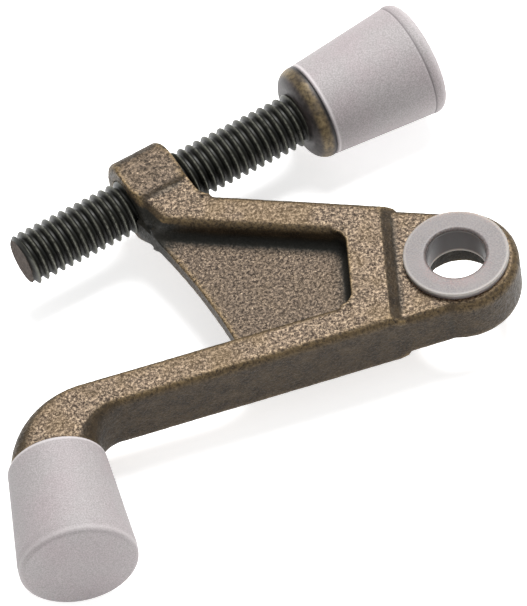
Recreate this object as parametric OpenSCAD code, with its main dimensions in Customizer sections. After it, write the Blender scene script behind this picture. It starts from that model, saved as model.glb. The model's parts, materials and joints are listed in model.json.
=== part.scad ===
// Hinge-pin door stop.
// A cast V-shaped frame swings on the door's hinge pin in a nylon bush. Its upper arm carries
// a threaded adjusting screw with a rubber bumper, and its lower arm ends in a fixed bumper.
// The origin is on the hinge-pin axis in the casting's mid-plane, with +Z along the pin.
// +X points from the arms towards the eye, and the two arms are mirror images about X.

/* [Hinge pin and bush] */
// Diameter of the hinge pin that the stop hangs on
pin_d = 9.525; // [6:0.025:11]
// Gap all round between the pin and the bush
pin_clear = 0.34; // [0.1:0.01:0.6]
// Wall of the bush's barrel
bush_wall = 1.55; // [1:0.05:2.5]
// How far the barrel reaches below the bush's flange
bush_barrel_l = 5.2; // [4:0.1:9]
// How far the flange stands out from the barrel
bush_flange_rim = 2.4; // [1:0.1:3.5]
// Thickness of the flange
bush_flange_t = 1.3; // [0.8:0.1:2.5]
// Rounding of the pin hole's mouth
bush_mouth_r = 0.6; // [0.4:0.1:1.2]
// Running gap between the bush and the eye
bush_clear = 0.05; // [0.02:0.01:0.1]

/* [Eye] */
// Metal left around the bush
eye_wall = 4; // [3:0.1:6]
// Thickness of the eye
eye_t = 9.8; // [8:0.1:12]
// Rounding of the eye's outer edges
eye_edge_r = 1.8; // [0.4:0.1:2.2]

/* [Frame] */
// Thickness of the frame
frame_t = 12; // [10.5:0.1:15]
// Angle of each arm to the X axis
arm_angle = 12.35; // [9:0.05:16]
// Width of each arm
arm_w = 6.6; // [5.5:0.1:8.5]
// Distance of the arms' outer walls inside the eye's round
arm_inset = 0.7; // [0:0.1:1.2]
// Rounding along the edges of the arms
arm_edge_r = 1.6; // [0.4:0.1:2]
// Rounding of the edges at the upper arm's free end
arm_end_r = 2.6; // [1:0.1:3.5]
// How far the upper arm's end stops short of the web's free edge
arm_end_in = 0.8; // [0.1:0.1:1.6]
// How much further in the walls lie between the eye and the step
root_inset = 0.1; // [0:0.1:1.5]
// Distance from the pin to the step where the frame gets thicker than the eye
step_x = 10.1; // [9.8:0.1:13]
// Length of the slope at that step
step_slope = 2.1; // [0.5:0.1:3]
// Width of the rib that closes the pocket between the arms
rib_w = 8.3; // [6:0.1:10]
// Thickness of the web between the arms
web_t = 3.3; // [2:0.1:6]
// Fillet between the web and the walls around it
web_fillet_r = 1.6; // [0.5:0.1:2.2]
// Radius of the web's hollow free edge
web_edge_r = 130; // [90:1:180]
// Distance from the boss's back face to the deepest point of that edge
web_edge_in = 0.9; // [0.5:0.1:4]
// Rounding of the pocket's corners
pocket_r = 2.6; // [1.7:0.1:4]

/* [Boss] */
// Distance from the pin to the boss, measured along the upper arm
upper_arm_l = 55; // [46:0.1:68]
// Height of the boss's centre over the upper arm's centre line
boss_rise = 7; // [6:0.05:8]
// Angle of the adjusting screw to the X axis
screw_angle = 26.2; // [20:0.1:32]
// Length of the boss
boss_l = 10.1; // [8.5:0.1:13]
// Width and thickness of the boss
boss_w = 13.5; // [12.2:0.1:16]
// Rounding of the boss's long edges
boss_edge_r = 4.2; // [2:0.1:5.5]
// Rounding of the boss's ends
boss_end_r = 1.3; // [0.5:0.1:2.5]
// Fillet between the boss's front face and the upper arm
boss_fillet_r = 3.6; // [2:0.1:8]

/* [Adjusting screw] */
// Outer diameter of the thread
screw_d = 9.525; // [7:0.025:10.5]
// Pitch of the thread
thread_pitch = 1.5875; // [1.2:0.0125:2.2]
// Depth of the thread as a share of the pitch
thread_form = 0.6; // [0.4:0.01:0.65]
// Gap all round between the thread and the boss
screw_clear = 0.1; // [0.05:0.01:0.2]
// Length of the thread
thread_l = 54.8; // [46:0.1:66]
// Distance from the boss to the screw's flange, as the stop is set
screw_out = 23.7; // [21.5:0.1:28]
// Chamfer at the screw's free end
screw_chamfer = 1.1; // [1:0.1:1.8]
// Thickness of the screw's flange
flange_t = 3.3; // [3.2:0.1:5]
// Rounding of the flange on the side of the thread
flange_edge_r = 2.9; // [1:0.1:3]

/* [Bumpers] */
// Diameter of a bumper at its narrow end, and of the screw's flange
bumper_small_d = 17.1; // [14.4:0.1:21]
// Diameter of a bumper at its rim
bumper_large_d = 20.4; // [17.4:0.1:25]
// Length of a bumper
bumper_l = 21.6; // [17.5:0.1:26]
// Depth of the rounded face past the rim
bumper_face_t = 2.3; // [1:0.1:3]
// How far the rim stands out from the cone
bumper_lip = 0.4; // [0.1:0.1:0.8]
// Diameter of the stub inside a bumper at its neck
stub_neck_d = 7; // [5:0.1:8.5]
// Diameter of the stub's head
stub_head_d = 9.4; // [8:0.1:11.5]
// Length of the stub
stub_l = 12.5; // [10:0.1:14]
// Gap all round between a stub and its bumper
stub_clear = 0.08; // [0.02:0.01:0.15]

/* [Lower arm] */
// Distance from the pin to the start of the bend, measured along the lower arm
lower_arm_l = 68.9; // [58:0.1:86]
// Outer radius of the bend
bend_outer_r = 15; // [13:0.1:18]
// Inner radius of the bend
bend_inner_r = 5.8; // [3:0.1:6.5]
// Angle between the X axis and the fixed bumper
foot_angle = 83; // [76:0.5:92]
// Angle by which the outer wall still widens where it meets the fixed bumper
foot_flare = 14; // [4:0.5:18]
// Straight length between the bend and the fixed bumper
foot_l = 0.3; // [0.1:0.1:4]
// Width of the lower arm at the fixed bumper
foot_w = 15.4; // [13.5:0.1:15.6]
// Rounding of the lower arm's edges at the fixed bumper
foot_edge_r = 4.5; // [3.5:0.1:5.5]

/* [Hidden] */
$fn = 96;

// how far solids of one piece run into each other
JOIN = 0.5;
// rounding of the casting's edges where a web or a wall is just trimmed
WEB_EDGE_R = 0.01;
// longer than the whole stop, for cutting tools
FAR = 300;

brass = [0.58, 0.52, 0.46];
dark_steel = [0.28, 0.27, 0.24];
nylon = [0.80, 0.78, 0.76];
rubber = [0.70, 0.67, 0.68];

// eye and bush
bush_hole_r = pin_d / 2 + pin_clear;
bush_r = bush_hole_r + bush_wall;
bush_flange_r = bush_r + bush_flange_rim;
bush_edge_r = 0.4;
eye_hole_r = bush_r + bush_clear;
eye_r = eye_hole_r + eye_wall;
eye_top = eye_t / 2;

// the arms' walls are lines parallel to the arm
arm_outer = eye_r - arm_inset;
arm_mid = arm_outer - arm_w / 2;
arm_inner = arm_outer - arm_w;
pocket_x = step_x + rib_w;
sin_a = sin(arm_angle);
cos_a = cos(arm_angle);

// a point of the upper arm, along it from the pin and out from the line through the pin
function arm_point(along, out) = [out * sin_a - along * cos_a, out * cos_a + along * sin_a];
function mirrored(p) = [p[0], -p[1]];
// the distance along the arm at which a line parallel to it reaches a place on the X axis
function along_at_x(x, out) = (x + out * sin_a) / cos_a;
// the point that two lines share, each given by its normal and its distance from the origin
function meet(n1, d1, n2, d2) =
    let (det = n1[0] * n2[1] - n1[1] * n2[0])
    [(d1 * n2[1] - d2 * n1[1]) / det, (n1[0] * d2 - n2[0] * d1) / det];
function at_angle(a) = [cos(a), sin(a)];

// boss and screw: places along the screw's axis are counted from the boss's middle
boss_at = arm_point(upper_arm_l, arm_mid + boss_rise);
boss_back = -boss_l / 2;
boss_front = boss_l / 2;
flange_at = boss_front + screw_out;
free_end = flange_at - thread_l;
bumper_at = flange_at + flange_t;
screw_r = screw_d / 2;
thread_root_r = screw_r - thread_form * thread_pitch;
screw_hole_r = screw_r + screw_clear;
screw_end_r = screw_r - screw_chamfer;
thread_run_in = thread_pitch;

// in the screw's frame the upper arm falls away at this angle
arm_fall = screw_angle + arm_angle;
arm_wall_y = -(arm_mid + boss_rise - arm_outer) / cos(arm_fall);
function arm_wall_at(x) = arm_wall_y - x * tan(arm_fall);

// the web's free edge is an arc about a point level with the X axis
edge_on_axis = (boss_back + at_angle(screw_angle) * boss_at) / cos(screw_angle);
edge_mid_y = at_angle(screw_angle + 90) * ([edge_on_axis, 0] - boss_at);

// bumpers and the stubs inside them
small_r = bumper_small_d / 2;
large_r = bumper_large_d / 2;
neck_r = stub_neck_d / 2;
head_r = stub_head_d / 2;
neck_l = 0.4 * stub_l;
head_slope_l = 1.5;
nose_l = 2.4;
nose_r = 2.2;
bumper_heel = 0.4;
lip_l = 1.2;

// lower arm: it turns from the arm's direction to the foot's, which points at the bumper's face
arm_heading = 180 + arm_angle;
foot_heading = 360 - foot_angle;
bend_turn = foot_heading - arm_heading;
foot_dir = at_angle(foot_heading);
foot_side = at_angle(foot_heading + 90);
arm_side = at_angle(arm_heading + 90);
bend_from = mirrored(arm_point(lower_arm_l, arm_inner));
outer_centre = bend_from + bend_outer_r * arm_side;
outer_turn = bend_turn - foot_flare;
outer_end = outer_centre + bend_outer_r * at_angle(arm_heading - 90 + outer_turn);
foot_outer = foot_side * outer_end;
foot_inner = foot_outer + foot_w;
inner_centre = meet(arm_side, arm_outer + bend_inner_r, foot_side, foot_inner + bend_inner_r);
foot_reach = max(foot_dir * outer_end, foot_dir * inner_centre) + foot_l;
foot_at = foot_reach * foot_dir + (foot_outer + foot_inner) / 2 * foot_side;

// sections of the lower arm: [outer wall, inner wall, edge rounding] from the eye to the foot
BEND_STEPS = 20;
CORNER_STEPS = 6;
arm_start = along_at_x(step_x / 2, arm_mid);
lower_sections = [
    [mirrored(arm_point(arm_start, arm_inner)), mirrored(arm_point(arm_start, arm_outer)), arm_edge_r],
    for (i = [0 : BEND_STEPS])
        let (t = i / BEND_STEPS)
        [
            outer_centre + bend_outer_r * at_angle(arm_heading - 90 + outer_turn * t),
            inner_centre + bend_inner_r * at_angle(arm_heading - 90 + bend_turn * t),
            arm_edge_r + (foot_edge_r - arm_edge_r) * t
        ],
    [
        foot_at - foot_w / 2 * foot_side,
        foot_at + foot_w / 2 * foot_side,
        foot_edge_r
    ]
];

// ---------------------------------------------------------------- shapes used more than once

// a rectangle with round corners, made of true arcs
module round_rect(w, h, r) {
    square([w - 2 * r, h], center = true);
    square([w, h - 2 * r], center = true);
    for (x = [-1, 1], y = [-1, 1])
        translate([x * (w / 2 - r), y * (h / 2 - r)]) circle(r);
}

// a bar with rounded edges from the origin along X, its section w wide in Y and t thick in Z
module round_bar(l, w, t, r) {
    rotate([90, 0, 90]) linear_extrude(l) round_rect(w, t, r);
}

// turns a profile of [radius, distance] about the X axis
module turned_x() {
    rotate([0, 90, 0]) rotate_extrude() children();
}

// half the outline of a round bar of radius r and length l whose ends are rounded
module round_ends(r, l, end_r) {
    square([r - end_r, l]);
    translate([0, end_r]) square([r, l - 2 * end_r]);
    for (y = [end_r, l - end_r])
        translate([r - end_r, y]) circle(end_r);
}

// fills the corner at p between walls that leave it towards u and v, with a round of radius r
module corner_round(p, u, v, r) {
    half = acos(u * v) / 2;
    t = r / tan(half);
    centre = p + (u + v) / norm(u + v) * r / sin(half);
    back = p - (u + v) / norm(u + v) * JOIN;
    difference() {
        polygon([back, p + t * u - JOIN * v, p + t * u, centre, p + t * v, p + t * v - JOIN * u]);
        translate(centre) circle(r);
    }
}

// puts its children on the screw's axis: X along the screw, origin in the boss's middle
module on_screw() {
    translate([boss_at[0], boss_at[1], 0]) rotate([0, 0, screw_angle]) children();
}

// puts its children on the foot's axis: X towards the fixed bumper's face
module on_foot() {
    translate([foot_at[0], foot_at[1], 0]) rotate([0, 0, foot_heading]) children();
}

// a solid through sections of equal length, given as lists of points that turn the same way
module swept(rings) {
    n = len(rings[0]);
    last = len(rings) - 1;
    points = [for (ring = rings) each ring];
    walls = [
        for (s = [0 : last - 1], i = [0 : n - 1])
            let (a = s * n + i, b = s * n + (i + 1) % n)
            each [[a, b + n, b], [a, a + n, b + n]]
    ];
    ends = [[for (i = [0 : n - 1]) i], [for (i = [n - 1 : -1 : 0]) last * n + i]];
    polyhedron(points, concat(walls, ends), convexity = 6);
}

// ---------------------------------------------------------------- bumpers

// the stub that a bumper is pushed on to, grown by a gap all round
module stub_profile(gap) {
    polygon([
        [0, -JOIN],
        [neck_r + gap, -JOIN],
        [neck_r + gap, neck_l - gap],
        [head_r + gap, neck_l + head_slope_l - gap],
        [head_r + gap, stub_l - nose_l + gap],
        [nose_r + gap, stub_l + gap],
        [0, stub_l + gap]
    ]);
}

module stub() {
    turned_x() stub_profile(0);
}

// a tapered bumper on its stub: its narrow end is at the origin and its face towards +X
module bumper() {
    rim_at = bumper_l - bumper_face_t;
    face_r = large_r + bumper_lip - bumper_face_t;
    difference() {
        turned_x() {
            polygon([
                [0, 0],
                [small_r - bumper_heel, 0],
                [small_r, bumper_heel],
                [large_r, rim_at - lip_l],
                [large_r + bumper_lip, rim_at],
                [face_r, rim_at],
                [face_r, bumper_l],
                [0, bumper_l]
            ]);
            translate([face_r, rim_at])
                intersection() {
                    circle(bumper_face_t);
                    square(bumper_face_t);
                }
        }
        turned_x() stub_profile(stub_clear);
    }
}

// ---------------------------------------------------------------- adjusting screw

// one pitch of the thread as [share of the pitch, radius]: root, flank, crest and flank
THREAD_FORM = [[0, thread_root_r], [0.31, screw_r], [0.44, screw_r], [0.75, thread_root_r]];
THREAD_SIDES = 20;
thread_end = thread_l + thread_run_in;
thread_rows = len(THREAD_FORM) * ceil(thread_end / thread_pitch + 2);
row_gap = 0.05 * thread_pitch;

// height and radius of row j of the helix, in column i of THREAD_SIDES round the axis
function row_z(i, j) =
    let (form = len(THREAD_FORM))
    thread_pitch * (floor(j / form) + THREAD_FORM[j % form][0] + i / THREAD_SIDES - 1);
function row_r(i, j) =
    min(THREAD_FORM[j % len(THREAD_FORM)][1], screw_end_r + max(row_z(i, j), 0));
function column_point(i, r, z) =
    [r * cos(360 * i / THREAD_SIDES), r * sin(360 * i / THREAD_SIDES), z];
// the first and last rows of a column that lie between the screw's ends
function first_row(i, j = 0) = row_z(i, j) > row_gap ? j : first_row(i, j + 1);
function last_row(i, j = thread_rows - 1) =
    row_z(i, j) < thread_end - row_gap ? j : last_row(i, j - 1);
// a point's number in the list: a full turn on, the same point is one form's rows further
function at_row(i, j) =
    i < THREAD_SIDES ? i * thread_rows + j : j + len(THREAD_FORM);

// the triangles between column i and the next
function thread_strip(i) =
    let (
        low_l = first_row(i),
        low_r = i + 1 < THREAD_SIDES ? first_row(i + 1) : first_row(0) - len(THREAD_FORM),
        top_l = last_row(i),
        top_r = i + 1 < THREAD_SIDES ? last_row(i + 1) : last_row(0) - len(THREAD_FORM),
        ends = THREAD_SIDES * thread_rows,
        next = (i + 1) % THREAD_SIDES,
        end_l = ends + i,
        end_r = ends + next,
        far_l = ends + THREAD_SIDES + i,
        far_r = ends + THREAD_SIDES + next
    )
    [
        for (j = [low_l : top_r - 1])
            each [
                [at_row(i, j), at_row(i, j + 1), at_row(i + 1, j + 1)],
                [at_row(i, j), at_row(i + 1, j + 1), at_row(i + 1, j)]
            ],
        if (low_r < low_l) [at_row(i, low_l), at_row(i + 1, low_l), at_row(i + 1, low_r)],
        if (top_r < top_l) [at_row(i, top_r), at_row(i, top_l), at_row(i + 1, top_r)],
        [end_l, at_row(i, low_l), at_row(i + 1, low_r)],
        [end_l, at_row(i + 1, low_r), end_r],
        [at_row(i, top_l), far_l, at_row(i + 1, top_r)],
        [at_row(i + 1, top_r), far_l, far_r]
    ];

// a right-hand thread from the origin along +Z, with a chamfered end
module thread() {
    points = concat(
        [
            for (i = [0 : THREAD_SIDES - 1], j = [0 : thread_rows - 1])
                column_point(i, row_r(i, j), row_z(i, j))
        ],
        [for (i = [0 : THREAD_SIDES - 1]) column_point(i, screw_end_r, 0)],
        [for (i = [0 : THREAD_SIDES - 1]) column_point(i, thread_root_r, thread_end)]
    );
    ends = THREAD_SIDES * thread_rows;
    faces = concat(
        [for (i = [0 : THREAD_SIDES - 1]) each thread_strip(i)],
        [[for (i = [0 : THREAD_SIDES - 1]) ends + i]],
        [[for (i = [THREAD_SIDES - 1 : -1 : 0]) ends + THREAD_SIDES + i]]
    );
    polyhedron(points, faces, convexity = 10);
}

// the round flange that the bumper bears on, its thread side towards -X
module screw_flange() {
    turned_x() {
        square([small_r - flange_edge_r, flange_t]);
        translate([0, flange_edge_r]) square([small_r, flange_t - flange_edge_r]);
        translate([small_r - flange_edge_r, flange_edge_r])
            intersection() {
                circle(flange_edge_r);
                translate([0, -flange_edge_r]) square(flange_edge_r);
            }
    }
}

// ---------------------------------------------------------------- the casting

// side outline of the frame: thick at the arms, and as thin as the eye past the step
module step_outline() {
    top = frame_t / 2 + JOIN;
    slope_from = -step_x - step_slope;
    // the slope runs on a little way into the root
    slope_to = JOIN - step_x;
    end_top = eye_top - JOIN * (frame_t / 2 - eye_top) / step_slope;
    rotate([90, 0, 0])
        linear_extrude(FAR, center = true)
            polygon([
                [-FAR, -top],
                [slope_from - JOIN, -top],
                [slope_from, -frame_t / 2],
                [slope_to, -end_top],
                [slope_to, end_top],
                [slope_from, frame_t / 2],
                [slope_from - JOIN, top],
                [-FAR, top]
            ]);
}

// a straight stretch of the upper arm, with its outer wall moved in by an inset
module arm_bar(l, t, r, inset = 0) {
    start = arm_point(0, arm_mid - inset);
    translate([start[0], start[1], 0])
        rotate([0, 0, 180 - arm_angle])
            round_bar(l, arm_w, t, r);
}

// everything on the eye's side of the web's free edge and a gap, t thick, with edges rounded by r
module inside_free_edge(t, r, gap = 0) {
    edge_r = web_edge_r + gap;
    on_screw()
        translate([boss_back + web_edge_in - web_edge_r, edge_mid_y, 0])
            rotate_extrude($fn = 360) {
                translate([edge_r + r, -t / 2]) square([FAR, t]);
                translate([edge_r, r - t / 2]) square([FAR, t - 2 * r]);
                for (z = [-1, 1])
                    translate([edge_r + r, z * (t / 2 - r)]) circle(r, $fn = 96);
            }
}

// the eye's ring, without its hole
module eye() {
    flat_r = eye_r - eye_edge_r;
    rotate_extrude() {
        translate([0, -eye_top]) square([flat_r, eye_t]);
        translate([0, eye_edge_r - eye_top]) square([eye_r, eye_t - 2 * eye_edge_r]);
        for (z = [-1, 1])
            translate([flat_r, z * (eye_top - eye_edge_r)]) circle(eye_edge_r);
    }
}

// the thin part between the eye and the step
module eye_root() {
    reach = along_at_x(pocket_x - JOIN, arm_mid);
    edge = arm_outer - root_inset - arm_edge_r;
    linear_extrude(eye_t, center = true)
        polygon([
            arm_point(0, edge),
            arm_point(reach, edge),
            mirrored(arm_point(reach, edge)),
            mirrored(arm_point(0, edge))
        ]);
    for (side = [0, 1])
        mirror([0, side, 0]) arm_bar(reach, eye_t, arm_edge_r, root_inset);
}

// the rib across the arms that closes the pocket
module rib() {
    inner = arm_point(along_at_x(pocket_x, arm_mid), arm_mid);
    outer = arm_point(along_at_x(step_x / 2, arm_mid), arm_mid);
    linear_extrude(frame_t, center = true)
        polygon([
            [-pocket_x, -inner[1]],
            [-step_x / 2, -outer[1]],
            [-step_x / 2, outer[1]],
            [-pocket_x, inner[1]]
        ]);
}

// round corners of the pocket, between the rib and the arms
module pocket_corners() {
    corner = arm_point(along_at_x(pocket_x, arm_inner), arm_inner);
    for (side = [0, 1])
        mirror([0, side, 0])
            linear_extrude(frame_t, center = true)
                corner_round(corner, [0, -1], at_angle(180 - arm_angle), pocket_r);
}

// the thin web between the arms
module web() {
    reach = upper_arm_l + boss_w;
    root = along_at_x(pocket_x - rib_w / 2, arm_mid);
    linear_extrude(web_t, center = true)
        polygon([
            arm_point(root, arm_mid),
            arm_point(reach, arm_mid),
            mirrored(arm_point(reach, arm_mid)),
            mirrored(arm_point(root, arm_mid))
        ]);
}

// fillets where the web meets the arms and the rib, on both faces
module web_fillets() {
    from = along_at_x(pocket_x - JOIN, arm_inner);
    l = upper_arm_l + boss_w - from;
    wall = arm_point(from, arm_inner);
    for (side = [0, 1], face = [0, 1])
        mirror([0, side, 0])
            mirror([0, 0, face]) {
                translate([wall[0], wall[1], web_t / 2])
                    rotate([0, 0, 180 - arm_angle])
                        rotate([90, 0, 90])
                            linear_extrude(l) corner_round([0, 0], [1, 0], [0, 1], web_fillet_r);
                translate([-pocket_x, 0, web_t / 2])
                    rotate([0, 0, 90])
                        rotate([90, 0, 90])
                            linear_extrude(wall[1])
                                corner_round([0, 0], [1, 0], [0, 1], web_fillet_r);
            }
}

// the boss for the adjusting screw, and the metal that joins it to the upper arm
module boss() {
    foot_y = arm_wall_at(boss_front);
    corner_r = (boss_w / 2 - boss_edge_r) * sqrt(2) + boss_edge_r;
    on_screw()
        intersection() {
            translate([boss_back, 0, 0]) round_bar(boss_l, boss_w, boss_w, boss_edge_r);
            translate([boss_back, 0, 0]) turned_x() round_ends(corner_r, boss_l, boss_end_r);
        }
    intersection() {
        inside_free_edge(frame_t, arm_end_r, arm_end_in);
        on_screw()
            linear_extrude(frame_t, center = true) {
                polygon([
                    [boss_back, 0],
                    [boss_front, 0],
                    [boss_front, foot_y - JOIN],
                    [boss_back, arm_wall_at(boss_back) - arm_w / 2]
                ]);
                corner_round([boss_front, foot_y], [0, 1], at_angle(-arm_fall), boss_fillet_r);
            }
    }
}

// one section of the lower arm: a round-cornered rectangle between two walls
function lower_ring(section) =
    let (
        mid = (section[0] + section[1]) / 2,
        across = (section[1] - section[0]) / norm(section[1] - section[0]),
        r = section[2],
        half_w = norm(section[1] - section[0]) / 2 - r,
        half_t = frame_t / 2 - r
    )
    [
        for (corner = [0 : 3], k = [0 : CORNER_STEPS])
            let (
                a = 90 * (corner + k / CORNER_STEPS),
                y = (corner == 0 || corner == 3 ? half_w : -half_w) + r * cos(a),
                z = (corner < 2 ? half_t : -half_t) + r * sin(a)
            )
            [mid[0] + y * across[0], mid[1] + y * across[1], z]
    ];

module lower_arm() {
    swept([for (section = lower_sections) lower_ring(section)]);
}

module stop_frame() {
    color(brass)
        difference() {
            union() {
                eye();
                eye_root();
                intersection() {
                    step_outline();
                    union() {
                        rib();
                        lower_arm();
                        intersection() {
                            arm_bar(upper_arm_l + boss_w, frame_t, arm_edge_r);
                            inside_free_edge(frame_t, arm_end_r, arm_end_in);
                        }
                    }
                }
                pocket_corners();
                intersection() {
                    union() {
                        web();
                        web_fillets();
                    }
                    inside_free_edge(frame_t, WEB_EDGE_R);
                }
                boss();
                on_foot() stub();
            }
            cylinder(r = eye_hole_r, h = FAR, center = true);
            on_screw() rotate([0, 90, 0]) cylinder(r = screw_hole_r, h = 2 * boss_l, center = true);
        }
}

// ---------------------------------------------------------------- the other pieces

module pin_bush() {
    bottom = eye_top - bush_barrel_l;
    top = eye_top + bush_flange_t;
    round_r = bush_flange_r - bush_edge_r;
    mouth = bush_hole_r + bush_mouth_r;
    color(nylon)
        rotate_extrude() {
            translate([bush_hole_r, bottom])
                square([bush_wall, top - bush_mouth_r - bottom]);
            translate([mouth, eye_top]) square([round_r - mouth, bush_flange_t]);
            translate([round_r, eye_top + bush_edge_r])
                square([bush_edge_r, bush_flange_t - 2 * bush_edge_r]);
            for (z = [eye_top + bush_edge_r, top - bush_edge_r])
                translate([round_r, z]) circle(bush_edge_r);
            translate([mouth, top - bush_mouth_r])
                intersection() {
                    circle(bush_mouth_r);
                    translate([-bush_mouth_r, 0]) square(bush_mouth_r);
                }
        }
}

module adjusting_screw() {
    color(dark_steel)
        on_screw() {
            translate([free_end, 0, 0]) rotate([0, 90, 0]) thread();
            translate([flange_at, 0, 0]) screw_flange();
            translate([bumper_at, 0, 0]) stub();
        }
}

module adjustable_bumper() {
    color(rubber) on_screw() translate([bumper_at, 0, 0]) bumper();
}

module fixed_bumper() {
    color(rubber) on_foot() bumper();
}

stop_frame();
pin_bush();
adjusting_screw();
adjustable_bumper();
fixed_bumper();
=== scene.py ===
"""Door stop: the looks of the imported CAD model, in its own frame, in metres."""

import json
import math

import bmesh
import bpy
import numpy as np
from mathutils import Matrix, Vector

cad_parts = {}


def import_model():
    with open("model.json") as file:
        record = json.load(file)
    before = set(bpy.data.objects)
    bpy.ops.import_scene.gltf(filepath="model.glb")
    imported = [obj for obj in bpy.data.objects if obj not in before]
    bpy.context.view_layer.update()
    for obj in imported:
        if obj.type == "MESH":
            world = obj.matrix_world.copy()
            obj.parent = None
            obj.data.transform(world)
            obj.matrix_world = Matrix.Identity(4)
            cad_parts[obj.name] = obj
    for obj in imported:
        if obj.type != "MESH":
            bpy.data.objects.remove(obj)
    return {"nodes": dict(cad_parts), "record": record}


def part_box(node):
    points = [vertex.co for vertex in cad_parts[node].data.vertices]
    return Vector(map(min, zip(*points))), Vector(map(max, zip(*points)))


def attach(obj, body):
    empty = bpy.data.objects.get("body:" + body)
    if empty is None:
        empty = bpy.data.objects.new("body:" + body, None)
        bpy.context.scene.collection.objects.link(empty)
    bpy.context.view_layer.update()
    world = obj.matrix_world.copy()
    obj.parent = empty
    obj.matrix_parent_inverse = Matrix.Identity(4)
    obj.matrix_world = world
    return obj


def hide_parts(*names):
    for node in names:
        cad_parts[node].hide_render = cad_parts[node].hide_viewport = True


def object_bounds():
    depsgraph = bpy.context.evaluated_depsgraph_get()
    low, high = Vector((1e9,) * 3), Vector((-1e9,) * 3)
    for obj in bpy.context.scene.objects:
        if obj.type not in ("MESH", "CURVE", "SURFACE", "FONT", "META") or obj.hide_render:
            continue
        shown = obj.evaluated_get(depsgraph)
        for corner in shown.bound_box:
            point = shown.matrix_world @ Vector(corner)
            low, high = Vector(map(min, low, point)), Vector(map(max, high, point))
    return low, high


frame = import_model()
CAD_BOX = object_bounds()
MM = 0.001
WELD = 0.001 * MM

# ---------------------------------------------------------------- sizes

# These are the CAD's sizes. The small roundings and chamfers, the flange's radius, the bumper's
# lip and the thread's root differ a little from it, to look like the photo.

MOUNTS = {m["name"]: m for m in frame["record"]["mounts"]}
TIP_FACE = Vector(MOUNTS["adjustable_bumper_face"]["pos_m"])
TIP_AXIS = Vector(MOUNTS["adjustable_bumper_face"]["axis"]).normalized()
FIXED_FACE = Vector(MOUNTS["fixed_bumper_face"]["pos_m"])
FIXED_AXIS = Vector(MOUNTS["fixed_bumper_face"]["axis"]).normalized()

BUSH_HOLE_R = MOUNTS["hinge_pin_bore"]["dims"]["r_mm"] * MM
BUSH_LOW, BUSH_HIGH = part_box("pin_bush")
BUSH_WALL = 1.55 * MM
BUSH_R = BUSH_HOLE_R + BUSH_WALL
BUSH_FLANGE_T = 1.3 * MM
BUSH_MOUTH_R = 0.6 * MM
BUSH_FLANGE_EDGE_R = 0.3 * MM
BUSH_HOLE_CHAMFER = 0.5 * MM
BUSH_END_CHAMFER = 0.2 * MM
BUSH_CLEAR = 0.05 * MM
EYE_HOLE_R = BUSH_R + BUSH_CLEAR

BUMPER_L = 21.6 * MM
BUMPER_SMALL_R = 8.55 * MM
BUMPER_LARGE_R = 10.2 * MM
BUMPER_HEEL_R = 0.5 * MM
# the adjustable bumper has a line and a lip round its rim, and the fixed one has neither
RIM_LINE = 0.16 * MM
RIM_LIP = 0.15 * MM
# the rounding between a bumper's side and face, and how far the face's middle stands out
TIP_FACE_EDGE_R = 1.7 * MM
TIP_FACE_DOME = 0.05 * MM
FIXED_FACE_EDGE_R = 1.0 * MM
FIXED_FACE_DOME = 0.2 * MM

SCREW_R = 4.7625 * MM
SCREW_CLEAR = 0.1 * MM
SCREW_HOLE_R = SCREW_R + SCREW_CLEAR
SCREW_CHAMFER = 0.8 * MM
THREAD_ROOT_R = 3.92 * MM
THREAD_PITCH = 1.5875 * MM
THREAD_L = 54.8 * MM
FLANGE_R = 8.5 * MM
FLANGE_T = 3.3 * MM
FLANGE_EDGE_R = 2.9 * MM
FLANGE_RIM_R = 0.25 * MM
FLANGE_TO_BOSS = 28.7 * MM

BUMPER_AT = TIP_FACE - BUMPER_L * TIP_AXIS
FLANGE_AT = BUMPER_AT - FLANGE_T * TIP_AXIS
SCREW_END = FLANGE_AT - THREAD_L * TIP_AXIS
BOSS_AT = FLANGE_AT - FLANGE_TO_BOSS * TIP_AXIS
# the corner where the boss stands on the arm's end
BOSS_FOOT = BOSS_AT + Vector((-2.0, -9.0, 0.0)) * MM


# ---------------------------------------------------------------- mesh helpers


def fade(value, start, end):
    """0 up to the start and 1 past the end, straight between. The end may be the lower one."""
    return np.clip((value - start) / (end - start), 0, 1)


def along(origin, axis):
    """The matrix that puts local Z on an axis, with local X upwards where it can be."""
    z = Vector(axis).normalized()
    up = Vector((0, 0, 1))
    if abs(z.dot(up)) > 0.99:
        up = Vector((1, 0, 0))
    x = (up - up.dot(z) * z).normalized()
    y = z.cross(x)
    rotation = Matrix((x, y, z)).transposed().to_4x4()
    return Matrix.Translation(origin) @ rotation


def new_piece(name, verts, faces, place):
    mesh = bpy.data.meshes.new(name)
    mesh.from_pydata([tuple(v) for v in verts], [], faces)
    mesh.transform(place)
    mesh.update()
    piece = bpy.data.objects.new(name, mesh)
    bpy.context.scene.collection.objects.link(piece)
    mesh.shade_smooth()
    return piece


def arc(centre_r, centre_z, radius, start, end, steps):
    """Points (r, z) of an arc, its angles in degrees from outwards towards +Z."""
    angles = [math.radians(start + (end - start) * i / steps) for i in range(steps + 1)]
    return [(centre_r + radius * math.cos(a), centre_z + radius * math.sin(a)) for a in angles]


def resampled(profile, gap):
    """A profile with extra points, so that no two lie further apart than a gap."""
    out = []
    for (r0, z0), (r1, z1) in zip(profile, profile[1:]):
        n = max(1, math.ceil(math.hypot(r1 - r0, z1 - z0) / gap))
        out += [(r0 + (r1 - r0) * i / n, z0 + (z1 - z0) * i / n) for i in range(n)]
    return out + [profile[-1]]


PROFILE_GAP = 0.35 * MM
BUMPER_PROFILE_GAP = 0.4 * MM
ON_AXIS = 1e-6 * MM
FLANGE_SEGMENTS = 160
ROUND_SEGMENTS = 192


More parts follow.
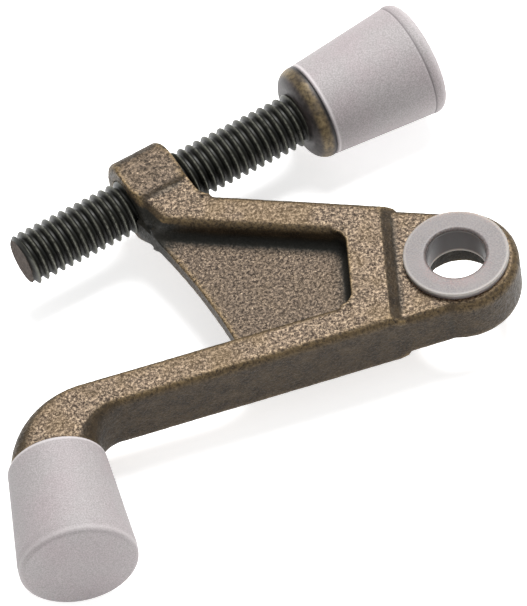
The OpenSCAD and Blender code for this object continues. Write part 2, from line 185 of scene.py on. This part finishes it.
def lathe(name, profile, place, segments, closed=False):
    """Turns (r, z) points about local Z. Points on the axis become one vertex."""
    verts, rings = [], []
    for r, z in profile:
        if r < ON_AXIS:
            rings.append([len(verts)] * segments)
            verts.append((0, 0, z))
        else:
            rings.append([len(verts) + i for i in range(segments)])
            for i in range(segments):
                a = 2 * math.pi * i / segments
                verts.append((r * math.cos(a), r * math.sin(a), z))
    pairs = list(zip(rings, rings[1:]))
    if closed:
        pairs.append((rings[-1], rings[0]))
    faces = []
    for low, high in pairs:
        for i in range(segments):
            j = (i + 1) % segments
            face = list(dict.fromkeys([low[i], low[j], high[j], high[i]]))
            if len(face) > 2:
                faces.append(face)
    return new_piece(name, verts, faces, place)


def per_vertex(mesh, what):
    """The place ("co") or the "normal" of each vertex, as rows of an array."""
    values = np.empty(len(mesh.vertices) * 3)
    mesh.vertices.foreach_get(what, values)
    return values.reshape(-1, 3)


def set_coordinates(mesh, co):
    mesh.vertices.foreach_set("co", co.astype(np.float32).ravel())
    mesh.update()


def edge_ends(mesh):
    """The two vertices of every edge, and how many edges each vertex has."""
    edges = np.empty(len(mesh.edges) * 2, np.int32)
    mesh.edges.foreach_get("vertices", edges)
    a, b = edges.reshape(-1, 2).T
    n = len(mesh.vertices)
    return a, b, np.bincount(a, minlength=n) + np.bincount(b, minlength=n)


def neighbour_mean(values, a, b, count):
    n = len(values)
    return (np.bincount(a, values[b], n) + np.bincount(b, values[a], n)) / count


def smoothed(mesh, co, passes, out=0.52, back=-0.54):
    """Evens out a mesh by moving each vertex towards its neighbours, then back outwards."""
    ends = edge_ends(mesh)
    for _ in range(passes):
        for share in (out, back):
            mean = np.stack([neighbour_mean(co[:, k], *ends) for k in range(3)], axis=1)
            co = co + share * (mean - co)
    return co


def spread(mesh, values, passes):
    """Lets values given per vertex run out over the surface around them."""
    ends = edge_ends(mesh)
    for _ in range(passes):
        values = 0.2 * values + 0.8 * neighbour_mean(values, *ends)
    return values


NOISE_CELLS = 64


def value_noise(co, scale, seed):
    """Smooth noise from 0 to 1 with features of the given size."""
    n = NOISE_CELLS
    grid = np.random.default_rng(seed).random((n, n, n))
    p = co / scale
    i = np.floor(p).astype(int)
    f = p - i
    f = f * f * (3 - 2 * f)
    out = np.zeros(len(co))
    for dx in (0, 1):
        for dy in (0, 1):
            for dz in (0, 1):
                w = (
                    (f[:, 0] if dx else 1 - f[:, 0])
                    * (f[:, 1] if dy else 1 - f[:, 1])
                    * (f[:, 2] if dz else 1 - f[:, 2])
                )
                out += w * grid[(i[:, 0] + dx) % n, (i[:, 1] + dy) % n, (i[:, 2] + dz) % n]
    return out


def distance_to_axis(co, origin, axis):
    """How far each point lies from a line, and how far along it."""
    d = co - np.array(origin)
    axis = np.array(axis)
    s = d @ axis
    return np.linalg.norm(d - s[:, None] * axis, axis=1), s


def attribute(mesh, name, values):
    """Gives each vertex a value from 0 to 1, which the materials read by name."""
    found = mesh.attributes.get(name) or mesh.attributes.new(name, "FLOAT", "POINT")
    found.data.foreach_set("value", np.clip(values, 0, 1).astype(np.float32))


# ---------------------------------------------------------------- node materials


class Nodes:
    """A short way to write a material's nodes."""

    def __init__(self, name):
        self.material = bpy.data.materials.new(name)
        self.material.use_nodes = True
        self.tree = self.material.node_tree
        self.shader = self.tree.nodes["Principled BSDF"]
        self.place = self.add("ShaderNodeTexCoord").outputs["Object"]

    def add(self, kind, **settings):
        node = self.tree.nodes.new(kind)
        for key, value in settings.items():
            setattr(node, key, value)
        return node

    def feed(self, value, socket):
        if isinstance(value, bpy.types.NodeSocket):
            self.tree.links.new(value, socket)
        else:
            socket.default_value = value

    def noise(self, scale, detail=4.0, roughness=0.6):
        node = self.add("ShaderNodeTexNoise", noise_type="FBM")
        self.feed(self.place, node.inputs["Vector"])
        node.inputs["Scale"].default_value = scale
        node.inputs["Detail"].default_value = detail
        node.inputs["Roughness"].default_value = roughness
        return node.outputs["Fac"]

    def ramp(self, value, start, end, smooth=False):
        """The same as fade, in nodes."""
        node = self.add(
            "ShaderNodeMapRange",
            clamp=True,
            interpolation_type="SMOOTHSTEP" if smooth else "LINEAR",
        )
        self.feed(value, node.inputs["Value"])
        node.inputs["From Min"].default_value = start
        node.inputs["From Max"].default_value = end
        return node.outputs["Result"]

    def math(self, operation, a, b=0.0):
        node = self.add("ShaderNodeMath", operation=operation)
        self.feed(a, node.inputs[0])
        self.feed(b, node.inputs[1])
        return node.outputs[0]

    def mix(self, share, a, b):
        """Colour a, giving way to colour b as the share goes from 0 to 1."""
        node = self.add("ShaderNodeMix", data_type="RGBA", blend_type="MIX")
        self.feed(share, node.inputs["Factor"])
        self.feed(a, node.inputs["A"])
        self.feed(b, node.inputs["B"])
        return node.outputs["Result"]

    def between(self, share, a, b):
        """The same as mix, for plain numbers."""
        node = self.add("ShaderNodeMix", data_type="FLOAT")
        self.feed(share, node.inputs["Factor"])
        self.feed(a, node.inputs["A"])
        self.feed(b, node.inputs["B"])
        return node.outputs["Result"]

    def attribute(self, name):
        return self.add("ShaderNodeAttribute", attribute_name=name).outputs["Fac"]

    def bump(self, height, strength, distance):
        node = self.add("ShaderNodeBump")
        node.inputs["Strength"].default_value = strength
        node.inputs["Distance"].default_value = distance
        self.feed(height, node.inputs["Height"])
        return node.outputs["Normal"]

    def surface(self, **values):
        for key, value in values.items():
            self.feed(value, self.shader.inputs[key.replace("_", " ")])
        return self.material


def paint(piece, material):
    piece.data.materials.clear()
    piece.data.materials.append(material)


def srgb(r, g, b):
    """A linear colour from its 8-bit screen values."""

    def linear(c):
        c /= 255
        return c / 12.92 if c <= 0.04045 else ((c + 0.055) / 1.055) ** 2.4

    return (linear(r), linear(g), linear(b), 1.0)


def cast_brass_material():
    n = Nodes("antique_brass_casting")
    top = n.attribute("flat_face")
    grain = n.noise(1900, detail=2.0, roughness=0.7)
    fine = n.noise(3400, detail=2.0)
    patch = n.noise(110, detail=3.0)
    tarnish = n.noise(420, detail=4.0, roughness=0.6)
    face = n.mix(n.ramp(grain, 0.38, 0.58), srgb(50, 40, 31), srgb(108, 92, 76))
    face = n.mix(n.ramp(grain, 0.55, 0.67), face, srgb(142, 124, 103))
    face = n.mix(n.ramp(fine, 0.57, 0.70), face, srgb(158, 141, 118))
    face = n.mix(n.ramp(fine, 0.42, 0.30), face, srgb(46, 38, 30))
    golden = n.math("MULTIPLY", n.ramp(patch, 0.42, 0.66, smooth=True), 0.4)
    face = n.mix(golden, face, srgb(100, 82, 54))
    # a darker colour: on the web low in the pocket it is painted shade, and the boss's top above
    # the arms takes it too
    low = n.mix(n.ramp(grain, 0.38, 0.64), srgb(38, 31, 24), srgb(97, 83, 69))
    low = n.mix(n.ramp(fine, 0.60, 0.72), low, srgb(146, 128, 108))
    face = n.mix(n.math("MULTIPLY", n.attribute("recess"), 0.8), face, low)
    # faces that are not flat take a darker colour: a smoother, tarnished skin, with painted shade
    # as well
    side = n.mix(n.ramp(tarnish, 0.35, 0.66), srgb(36, 29, 21), srgb(57, 47, 34))
    side = n.mix(n.ramp(fine, 0.5, 0.8), side, srgb(76, 63, 46))
    colour = n.mix(top, side, face)
    # painted shade, nearly black, in creases, bores, along the pocket's walls and below the boss
    hollow = n.attribute("hollow")
    colour = n.mix(n.math("MULTIPLY", hollow, 0.92), colour, srgb(30, 31, 28))
    # on the casting this is worn brass on the edges that stand out
    wear_and_painted_highlight = n.attribute("wear_and_painted_highlight")
    wear_and_painted_highlight = n.math("MULTIPLY", wear_and_painted_highlight, n.ramp(grain, 0.35, 0.6))
    colour = n.mix(n.math("MULTIPLY", wear_and_painted_highlight, 0.5), colour, srgb(138, 116, 80))
    rough = n.between(n.ramp(grain, 0.35, 0.65), 0.66, 0.44)
    height = n.math("ADD", grain, n.math("MULTIPLY", fine, 0.5))
    normal = n.bump(height, 0.9, 0.14 * MM)
    return n.surface(
        Base_Color=colour,
        Roughness=rough,
        Metallic=0.35,
        Specular_IOR_Level=0.25,
        Normal=normal,
    )


def screw_material():
    n = Nodes("blackened_steel_thread")
    grain = n.noise(1700, detail=3.0)
    patch = n.noise(260, detail=3.0)
    # on the thread this is the crests' wear
    crest = n.attribute("wear_and_painted_highlight")
    base = n.mix(n.ramp(patch, 0.35, 0.7), srgb(16, 16, 14), srgb(30, 30, 26))
    crest = n.math("MULTIPLY", crest, n.ramp(grain, 0.25, 0.6))
    colour = n.mix(crest, base, srgb(112, 112, 102))
    streaks = n.mix(n.ramp(grain, 0.35, 0.65), srgb(54, 47, 42), srgb(84, 75, 69))
    colour = n.mix(n.attribute("end"), colour, streaks)
    rough = n.between(n.ramp(grain, 0.3, 0.7), 0.38, 0.55)
    rough = n.between(n.attribute("end"), rough, 0.85)
    metal = n.between(n.attribute("end"), 0.6, 0.0)
    gloss = n.between(n.attribute("end"), 0.5, 0.1)
    normal = n.bump(grain, 0.3, 0.04 * MM)
    return n.surface(
        Base_Color=colour,
        Roughness=rough,
        Metallic=metal,
        Specular_IOR_Level=gloss,
        Normal=normal,
    )


def flange_material():
    n = Nodes("tarnished_brass_flange")
    grain = n.noise(1500, detail=3.0)
    patch = n.noise(300, detail=3.0)
    wear_and_painted_highlight = n.attribute("wear_and_painted_highlight")
    base = n.mix(n.ramp(grain, 0.35, 0.65), srgb(38, 34, 32), srgb(62, 55, 54))
    gold = n.mix(n.ramp(grain, 0.35, 0.65), srgb(72, 60, 40), srgb(122, 106, 76))
    # worn brass on the rim, also a painted highlight where the rim catches the light
    wear_and_painted_highlight = n.math("MULTIPLY", wear_and_painted_highlight, n.ramp(patch, 0.2, 0.55))
    colour = n.mix(wear_and_painted_highlight, base, gold)
    # painted shade at the seam with the bumper
    colour = n.mix(n.attribute("hollow"), colour, srgb(14, 12, 12))
    normal = n.bump(grain, 0.45, 0.07 * MM)
    return n.surface(Base_Color=colour, Roughness=0.5, Metallic=0.4, Normal=normal)


def rubber_material():
    n = Nodes("grey_moulded_rubber")
    grain = n.noise(4200, detail=2.0, roughness=0.7)
    patch = n.noise(120, detail=3.0)
    light = n.mix(n.ramp(grain, 0.36, 0.64), srgb(128, 123, 123), srgb(154, 149, 149))
    warm = n.mix(n.ramp(grain, 0.36, 0.64), srgb(130, 122, 123), srgb(154, 146, 147))
    colour = n.mix(n.ramp(patch, 0.40, 0.66), light, warm)
    # painted highlights on the heel and on the brow below the face
    rubber_highlight = n.attribute("wear_and_painted_highlight")
    colour = n.mix(n.math("MULTIPLY", rubber_highlight, 0.6), colour, srgb(196, 190, 190))
    # painted shade in the rim's groove and at the seat
    groove_and_seat_shade = n.attribute("hollow")
    colour = n.mix(n.math("MULTIPLY", groove_and_seat_shade, 0.8), colour, srgb(84, 78, 80))
    rough = n.between(n.ramp(grain, 0.3, 0.7), 0.62, 0.78)
    normal = n.bump(grain, 0.35, 0.05 * MM)
    return n.surface(Base_Color=colour, Roughness=rough, Normal=normal)


def nylon_material():
    n = Nodes("white_grey_nylon")
    grain = n.noise(3200, detail=2.0)
    patch = n.noise(180, detail=3.0)
    colour = n.mix(n.ramp(patch, 0.35, 0.7), srgb(74, 67, 66), srgb(96, 87, 85))
    colour = n.mix(n.ramp(grain, 0.4, 0.62), colour, srgb(106, 97, 95))
    # painted highlights on the flange's upper edge and the hole's lower edge
    edge = n.attribute("wear_and_painted_highlight")
    colour = n.mix(n.math("MULTIPLY", edge, 0.85), colour, srgb(206, 196, 186))
    # painted shade under the flange and inside the hole
    inside = n.attribute("hollow")
    colour = n.mix(n.math("MULTIPLY", inside, 0.85), colour, srgb(58, 51, 50))
    rough = n.between(n.ramp(grain, 0.3, 0.7), 0.38, 0.5)
    normal = n.bump(grain, 0.15, 0.03 * MM)
    return n.surface(
        Base_Color=colour, Roughness=rough, Normal=normal, Subsurface_Weight=0.08
    )


def floor_material():
    n = Nodes("white_studio_floor")
    mottle = n.noise(14, detail=2.0)
    colour = n.mix(mottle, (0.93, 0.93, 0.93, 1.0), (0.96, 0.96, 0.96, 1.0))
    return n.surface(
        Base_Color=colour,
        Roughness=0.9,
        Emission_Color=(1.0, 1.0, 1.0, 1.0),
        Emission_Strength=0.6,
    )


# ---------------------------------------------------------------- the casting

VOXEL = 0.25 * MM
SKIN_PASSES = 14
WIDE_PASSES = 60
WALL_PASSES = 120
GRAIN_SIZE = 0.45 * MM
LUMP_SIZE = 0.8 * MM
SWELL_SIZE = 4.5 * MM
GRAIN_DEPTH = 0.16 * MM
SWELL_DEPTH = 0.05 * MM
# heights from the middle plane: the web with its fillet, the foot of the ribs' walls, the
# eye's face, the lower part of the boss, and the arms' top
WEB_TOP = 2.4 * MM
WALL_FOOT = 2.2 * MM
EYE_TOP = 4.9 * MM
BOSS_SHADE_TOP = 5.0 * MM
ARM_TOP = 6.0 * MM
# distances from the foot of the boss: what is rounded off and what lies in its shade
FOOT_SOFT_R = 3.0 * MM
FOOT_HARD_R = 5.0 * MM
FOOT_DARK_R = 5.0 * MM
FOOT_LIGHT_R = 9.0 * MM


def voxel_skin(node, name):
    """A mesh of small, even faces over a CAD node."""
    source = frame["nodes"][node].data.copy()
    bm = bmesh.new()
    bm.from_mesh(source)
    bmesh.ops.remove_doubles(bm, verts=bm.verts, dist=WELD)
    bm.to_mesh(source)
    bm.free()
    rough = bpy.data.objects.new("rough_casting", source)
    bpy.context.scene.collection.objects.link(rough)
    remesh = rough.modifiers.new("skin", "REMESH")
    remesh.mode = "VOXEL"
    remesh.voxel_size = VOXEL
    remesh.adaptivity = 0.0
    bpy.context.view_layer.update()
    seen = rough.evaluated_get(bpy.context.evaluated_depsgraph_get())
    mesh = bpy.data.meshes.new_from_object(seen)
    bpy.data.objects.remove(rough)
    mesh.name = name
    return mesh


def casting():
    """The frame with the soft edges and sandy skin of a casting."""
    mesh = voxel_skin("stop_frame", "cast_frame")
    co = smoothed(mesh, per_vertex(mesh, "co"), SKIN_PASSES)
    set_coordinates(mesh, co)
    normal = per_vertex(mesh, "normal")
    level = np.abs(normal[:, 2])

    # how far the surface stands out from a much smoother one, for worn edges and the painted shade
    # in creases
    wide = smoothed(mesh, co, WIDE_PASSES, out=0.6, back=0.0)
    bulge = ((co - wide) * normal).sum(axis=1)

    # the arm's end corner under the boss is rounder than the rest
    foot = np.linalg.norm(co[:, :2] - np.array(BOSS_FOOT)[:2], axis=1)
    soft = fade(foot, FOOT_HARD_R, FOOT_SOFT_R) * fade(np.abs(co[:, 2]), 2.0 * MM, 3.5 * MM)
    co = co + 0.8 * soft[:, None] * (wide - co)

    # bores keep their walls smooth
    eye_r, _ = distance_to_axis(co, (0, 0, 0), (0, 0, 1))
    screw_r, _ = distance_to_axis(co, BUMPER_AT, TIP_AXIS)
    bore = np.minimum(eye_r - EYE_HOLE_R, screw_r - SCREW_HOLE_R)
    rough_here = fade(bore, 0.15 * MM, 0.65 * MM)

    # a sand casting's skin: fine grains and shallow swells, deeper on the flat faces
    up = fade(level, 0.5, 0.9)
    grains = value_noise(co, GRAIN_SIZE, 1) * 0.6 + value_noise(co, LUMP_SIZE, 2) * 0.4
    swell = value_noise(co, SWELL_SIZE, 3)
    depth = (0.35 + 0.65 * up) * GRAIN_DEPTH * (1 - grains) + SWELL_DEPTH * (1 - swell)
    co = co - normal * (depth * rough_here)[:, None]
    set_coordinates(mesh, co)
    mesh.shade_smooth()

    # where it is worn, where shade is painted, where it is flat and where it is recessed
    height = np.abs(co[:, 2])
    walls = (1 - level) * (height > WALL_FOOT) * (height < EYE_TOP)
    by_wall = fade(spread(mesh, walls, WALL_PASSES), 0.02, 0.24) * (height < WEB_TOP) * up
    by_boss = fade(foot, FOOT_LIGHT_R, FOOT_DARK_R) * (height < BOSS_SHADE_TOP)
    corner = fade(-bulge, 0.04 * MM, 0.20 * MM)
    inside = fade(bore, 0.25 * MM, 0.05 * MM)
    attribute(mesh, "wear_and_painted_highlight", fade(bulge, 0.08 * MM, 0.33 * MM) * (1 - by_boss))
    # painted shade in creases, on the bores' walls, on the web along the pocket's walls (with some
    # dirt there) and on the web below the boss
    attribute(mesh, "hollow", np.maximum.reduce([corner, 0.7 * inside, by_wall, 0.9 * by_boss]))
    # faces that are not flat get the darker side colour, partly as painted shade
    attribute(mesh, "flat_face", fade(level, 0.91, 0.97))
    # the web low in the pocket is darkened as painted shade, and the boss's top above the arms is
    # darkened too
    web = fade(height, 4.0 * MM, 2.5 * MM)
    boss = fade(height, ARM_TOP, ARM_TOP + 0.3 * MM)
    attribute(mesh, "recess", np.maximum(web, boss))

    piece = bpy.data.objects.new("cast_frame", mesh)
    bpy.context.scene.collection.objects.link(piece)
    return piece


# ---------------------------------------------------------------- the adjusting screw

THREAD_SEGMENTS = 64
THREAD_BURIED = 0.4 * MM
END_FACE_T = 0.02 * MM
# turns that start before the screw's end, and turns that are cut off at both ends together
TURNS_BEFORE = 2
TURNS_CUT_OFF = 3
# the wear of an edge that the chamfer cuts, where a crest's is 1
CHAMFER_WEAR = 0.55
SHARP_ANGLE = math.radians(40)
# one pitch of the thread as (share of the pitch, share of the depth): a rounded root and crest
THREAD_SHAPE = [
    (0.00, 0.0),
    (0.06, 0.04),
    (0.14, 0.24),
    (0.30, 0.80),
    (0.36, 0.95),
    (0.42, 1.0),
    (0.48, 0.95),
    (0.54, 0.80),
    (0.70, 0.24),
    (0.80, 0.04),
]


def thread():
    """A right-hand thread along local Z, with a chamfered end."""
    rows_a_turn = len(THREAD_SHAPE)
    rows = rows_a_turn * (math.ceil(THREAD_L / THREAD_PITCH) + TURNS_CUT_OFF)
    z_end = THREAD_L + THREAD_BURIED
    end_r = SCREW_R - SCREW_CHAMFER
    verts, wear_and_painted_highlight, end = [], [], []
    for i in range(THREAD_SEGMENTS):
        a = 2 * math.pi * i / THREAD_SEGMENTS
        for j in range(rows):
            share, out = THREAD_SHAPE[j % rows_a_turn]
            turn = j // rows_a_turn + share + i / THREAD_SEGMENTS - TURNS_BEFORE
            z = turn * THREAD_PITCH
            r = THREAD_ROOT_R + out * (SCREW_R - THREAD_ROOT_R)
            # the chamfer is at 45 degrees
            cut = end_r + max(z, 0.0)
            wear = out if r < cut else CHAMFER_WEAR
            r = min(r, cut)
            z = min(max(z, 0.0), z_end)
            verts.append((r * math.cos(a), r * math.sin(a), z))
            wear_and_painted_highlight.append(wear**4)
            end.append(1.0 if z < END_FACE_T else 0.0)
    faces = []
    for i in range(THREAD_SEGMENTS):
        last = i + 1 == THREAD_SEGMENTS
        # a full turn on, the same row lies one pitch further along
        shift = rows_a_turn if last else 0
        k = 0 if last else i + 1
        for j in range(rows - 1 - shift):
            here = i * rows + j
            there = k * rows + j + shift
            quad = [here, there, there + 1, here + 1]
            heights = [verts[q][2] for q in quad]
            if max(heights) > 0 and min(heights) < z_end:
                faces.append(quad)
    piece = new_piece("screw_thread", verts, faces, along(SCREW_END, TIP_AXIS))
    attribute(piece.data, "wear_and_painted_highlight", np.array(wear_and_painted_highlight))
    attribute(piece.data, "end", np.array(end))
    return piece


def finish_thread(piece):
    """Welds the thread's seam and closes its two ends."""
    bm = bmesh.new()
    bm.from_mesh(piece.data)
    bmesh.ops.remove_doubles(bm, verts=bm.verts, dist=WELD)
    loose = [v for v in bm.verts if not v.link_faces]
    bmesh.ops.delete(bm, geom=loose, context="VERTS")
    bmesh.ops.dissolve_degenerate(bm, edges=bm.edges, dist=0.1 * WELD)
    open_edges = [e for e in bm.edges if e.is_boundary]
    bmesh.ops.holes_fill(bm, edges=open_edges)
    bmesh.ops.recalc_face_normals(bm, faces=bm.faces)
    bm.to_mesh(piece.data)
    bm.free()
    piece.data.shade_smooth()
    piece.data.set_sharp_from_angle(angle=SHARP_ANGLE)


# the ring of worn brass, lightened as a painted highlight where the rim catches the light: its
# middle, and the distances from there at which it is whole and at which it ends
FLANGE_RING_AT = 1.75 * MM
RING_WHOLE = 0.48 * MM
RING_ENDS = 1.28 * MM


def flange():
    """The screw's flange: well rounded towards the thread, with a small edge at the bumper."""
    profile = [(0.0, 0.0), (SCREW_R * 0.8, 0.0)]
    profile += arc(FLANGE_R - FLANGE_EDGE_R, FLANGE_EDGE_R, FLANGE_EDGE_R, -90, 0, 16)
    profile += arc(FLANGE_R - FLANGE_RIM_R, FLANGE_T - FLANGE_RIM_R, FLANGE_RIM_R, 0, 90, 5)
    profile += [(0.0, FLANGE_T)]
    profile = resampled(profile, PROFILE_GAP)
    piece = lathe("screw_flange", profile, along(FLANGE_AT, TIP_AXIS), FLANGE_SEGMENTS)
    co = per_vertex(piece.data, "co")
    radius, s = distance_to_axis(co, FLANGE_AT, TIP_AXIS)
    # the ring of worn brass and painted highlight
    ring = fade(np.abs(s - FLANGE_RING_AT), RING_ENDS, RING_WHOLE)
    attribute(piece.data, "wear_and_painted_highlight", ring * fade(radius, 0.86 * FLANGE_R, 0.94 * FLANGE_R))
    # painted shade at the seam with the bumper
    attribute(piece.data, "hollow", fade(s, FLANGE_T - 0.5 * MM, FLANGE_T - 0.25 * MM))
    return piece


# ---------------------------------------------------------------- bumpers and bush

# how far the rim line lies from the face, and half its width
RIM_BAND = 2.6 * MM
LINE_HALF = 0.2 * MM
# how far before the line the straight taper ends
TAPER_END = 0.9 * MM
# the lip rises past the line as (share of the lip, distance past the line)
LIP_RISE = [(0.5, LINE_HALF), (0.8, 0.55 * MM), (0.95, 0.85 * MM)]
# the base's middle and the rim are drawn in by this much
BASE_INSET = 0.02 * MM
RIM_INSET = 0.03 * MM
DOME_STEPS = 7
# the marks on the rubber: painted shade at the seat, a painted highlight at the heel, and a
# painted highlight on the brow below the face
SEAT_SHADE = 0.22 * MM
HEEL_MARK = 0.3 * MM
BROW_MARK = 0.8 * MM
BROW_IN = 0.7 * MM
BROW_HIGHLIGHT = 0.45


def bumper(name, start, axis, line, lip, face_edge_r, dome):
    """A tapered rubber bumper with a rim line and a lip of the given depths, and a domed face."""
    rim_z = BUMPER_L - RIM_BAND
    heel = BUMPER_HEEL_R
    taper = (BUMPER_LARGE_R - BUMPER_SMALL_R) / rim_z
    outer = BUMPER_LARGE_R + lip - RIM_INSET
    profile = [(0.0, BASE_INSET), (BUMPER_SMALL_R - heel, BASE_INSET)]
    profile += arc(BUMPER_SMALL_R - heel, heel, heel, -90, 0, 8)
    profile += [
        (BUMPER_LARGE_R - TAPER_END * taper, rim_z - TAPER_END),
        (BUMPER_LARGE_R, rim_z - LINE_HALF),
        (BUMPER_LARGE_R - line, rim_z),
    ]
    profile += [(BUMPER_LARGE_R + share * lip, rim_z + past) for share, past in LIP_RISE]
    profile += arc(outer - face_edge_r, BUMPER_L - dome - face_edge_r, face_edge_r, 5, 85, 14)
    edge_r, edge_z = profile[-1]
    for k in range(1, DOME_STEPS + 1):
        left = 1 - k / DOME_STEPS
        profile.append((edge_r * left, BUMPER_L - (BUMPER_L - edge_z) * left**2))
    profile = resampled(profile, BUMPER_PROFILE_GAP)
    piece = lathe(name, profile, along(start, axis), ROUND_SEGMENTS)
    _, s = distance_to_axis(per_vertex(piece.data, "co"), start, axis)
    # painted shade in the rim's groove and at the seat
    groove = fade(np.abs(s - rim_z), LINE_HALF, 0.0) * line / RIM_LINE
    seat = fade(s, SEAT_SHADE, 0.0)
    attribute(piece.data, "hollow", np.maximum(groove, seat))
    # painted highlights on the brow below the face and on the heel
    brow_z = BUMPER_L - dome - BROW_IN
    brow = BROW_HIGHLIGHT * fade(np.abs(s - brow_z), BROW_MARK, 0.0)
    heel_line = fade(np.abs(s - heel), HEEL_MARK, 0.0)
    attribute(piece.data, "wear_and_painted_highlight", np.maximum(brow, heel_line))
    return piece


def bush():
    """The flanged bush, with a rounded mouth."""
    top = BUSH_HIGH.z
    low = BUSH_LOW.z
    flange_r = BUSH_HIGH.x
    seat = top - BUSH_FLANGE_T
    mouth = BUSH_MOUTH_R
    edge = BUSH_FLANGE_EDGE_R
    lower = BUSH_HOLE_CHAMFER
    profile = [(BUSH_HOLE_R, low + lower), (BUSH_HOLE_R, top - mouth)]
    profile += arc(BUSH_HOLE_R + mouth, top - mouth, mouth, 180, 90, 12)
    profile += arc(flange_r - edge, top - edge, edge, 90, 0, 6)
    profile += arc(flange_r - edge, seat + edge, edge, 0, -90, 6)
    profile += [(BUSH_R, seat), (BUSH_R, low + BUSH_END_CHAMFER), (BUSH_R - BUSH_END_CHAMFER, low)]
    profile += [(BUSH_HOLE_R + lower, low)]
    profile = resampled(profile, PROFILE_GAP)
    place = Matrix.Identity(4)
    piece = lathe("pin_bush_moulding", profile, place, ROUND_SEGMENTS, closed=True)
    co = per_vertex(piece.data, "co")
    z = co[:, 2]
    radius, _ = distance_to_axis(co, (0, 0, 0), (0, 0, 1))
    # painted highlights: a light line round the flange's upper edge, and a lighter one round the
    # hole's lower edge
    rim = fade(radius, flange_r - 0.5 * MM, flange_r - 0.2 * MM)
    rim = 0.35 * rim * fade(z, top - 0.55 * MM, top - 0.25 * MM)
    lower_edge = fade(np.abs(z - low - 0.6 * MM), 0.455 * MM, 0.105 * MM)
    lower_edge = lower_edge * (radius < BUSH_HOLE_R + lower + 0.05 * MM)
    attribute(piece.data, "wear_and_painted_highlight", np.maximum(rim, lower_edge))
    # painted shade under the flange and inside the hole
    under = 0.5 * fade(radius, BUSH_R, BUSH_R + 0.5 * MM) * (z < top - 0.7 * MM)
    inner = fade(radius, BUSH_HOLE_R + 0.3 * MM, BUSH_HOLE_R + 0.1 * MM)
    inner = inner * (1 - lower_edge) * (z < top - 1.2 * mouth)
    attribute(piece.data, "hollow", np.maximum(inner, under))
    return piece


# ---------------------------------------------------------------- the pieces in place

frame_piece = casting()
paint(frame_piece, cast_brass_material())
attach(frame_piece, "frame")
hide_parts("stop_frame")

thread_piece = thread()
finish_thread(thread_piece)
paint(thread_piece, screw_material())
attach(thread_piece, "screw")
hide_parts("adjusting_screw")

flange_piece = flange()
paint(flange_piece, flange_material())
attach(flange_piece, "screw")

rubber = rubber_material()
tip_piece = bumper(
    "adjustable_bumper_moulding",
    BUMPER_AT,
    TIP_AXIS,
    line=RIM_LINE,
    lip=RIM_LIP,
    face_edge_r=TIP_FACE_EDGE_R,
    dome=TIP_FACE_DOME,
)
paint(tip_piece, rubber)
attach(tip_piece, "tip")
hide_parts("adjustable_bumper")

fixed_piece = bumper(
    "fixed_bumper_moulding",
    FIXED_FACE - BUMPER_L * FIXED_AXIS,
    FIXED_AXIS,
    line=0.0,
    lip=0.0,
    face_edge_r=FIXED_FACE_EDGE_R,
    dome=FIXED_FACE_DOME,
)
paint(fixed_piece, rubber)
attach(fixed_piece, "frame")
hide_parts("fixed_bumper")

bush_piece = bush()
paint(bush_piece, nylon_material())
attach(bush_piece, "bush")
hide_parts("pin_bush")

# ---------------------------------------------------------------- floor, light and camera

FLOOR_GAP = 1.0 * MM
FLOOR_HALF = 1.6
WORLD_STRENGTH = 0.40
# where the camera looks, which way it lies from there, and which way is right in its picture
LOOK_AT = Vector((-33.5, -1.2, 0.0)) * MM
VIEW_BACK = Vector((0.0324, -0.608, 0.793)).normalized()
VIEW_RIGHT = Vector((0.9929, -0.0714, -0.0952))
VIEW_DISTANCE = 1.4
VIEW_HEIGHT = 103.06 * MM
SENSOR_MM = 36.0
# watts, width of the disk and place
KEY_LIGHT = (16.5, 0.6, (0.12, 0.37, 0.86))
FILL_LIGHT = (1.5, 0.9, (-0.1, -0.85, 0.5))


def floor():
    half = FLOOR_HALF
    z = CAD_BOX[0][2] - FLOOR_GAP
    verts = [(-half, -half, z), (half, -half, z), (half, half, z), (-half, half, z)]
    mesh = bpy.data.meshes.new("studio_floor")
    mesh.from_pydata(verts, [], [(0, 1, 2, 3)])
    piece = bpy.data.objects.new("studio_floor", mesh)
    bpy.context.scene.collection.objects.link(piece)
    paint(piece, floor_material())


def area_light(name, energy, size, place):
    """A round soft light that shines on the part."""
    data = bpy.data.lights.new(name, "AREA")
    data.energy = energy
    data.shape = "DISK"
    data.size = size
    light = bpy.data.objects.new(name, data)
    bpy.context.scene.collection.objects.link(light)
    light.location = place
    direction = LOOK_AT - Vector(place)
    light.rotation_euler = direction.to_track_quat("-Z", "Y").to_euler()


def world():
    surround = bpy.data.worlds.new("white_studio")
    surround.use_nodes = True
    background = surround.node_tree.nodes["Background"]
    background.inputs["Color"].default_value = (1.0, 1.0, 1.0, 1.0)
    background.inputs["Strength"].default_value = WORLD_STRENGTH
    bpy.context.scene.world = surround


def camera():
    """The photo's camera."""
    data = bpy.data.cameras.new("photo_camera")
    data.sensor_width = SENSOR_MM
    data.lens = SENSOR_MM * VIEW_DISTANCE / VIEW_HEIGHT
    data.clip_start = 0.05
    data.clip_end = 10
    right = (VIEW_RIGHT - VIEW_RIGHT.dot(VIEW_BACK) * VIEW_BACK).normalized()
    up = VIEW_BACK.cross(right)
    rotation = Matrix((right, up, VIEW_BACK)).transposed().to_4x4()
    eye = bpy.data.objects.new("photo_camera", data)
    eye.matrix_world = Matrix.Translation(LOOK_AT + VIEW_DISTANCE * VIEW_BACK) @ rotation
    bpy.context.scene.collection.objects.link(eye)
    bpy.context.scene.camera = eye


bpy.context.scene.view_settings.view_transform = "Standard"
floor()
world()
area_light("key_light", *KEY_LIGHT)
area_light("fill_light", *FILL_LIGHT)
camera()
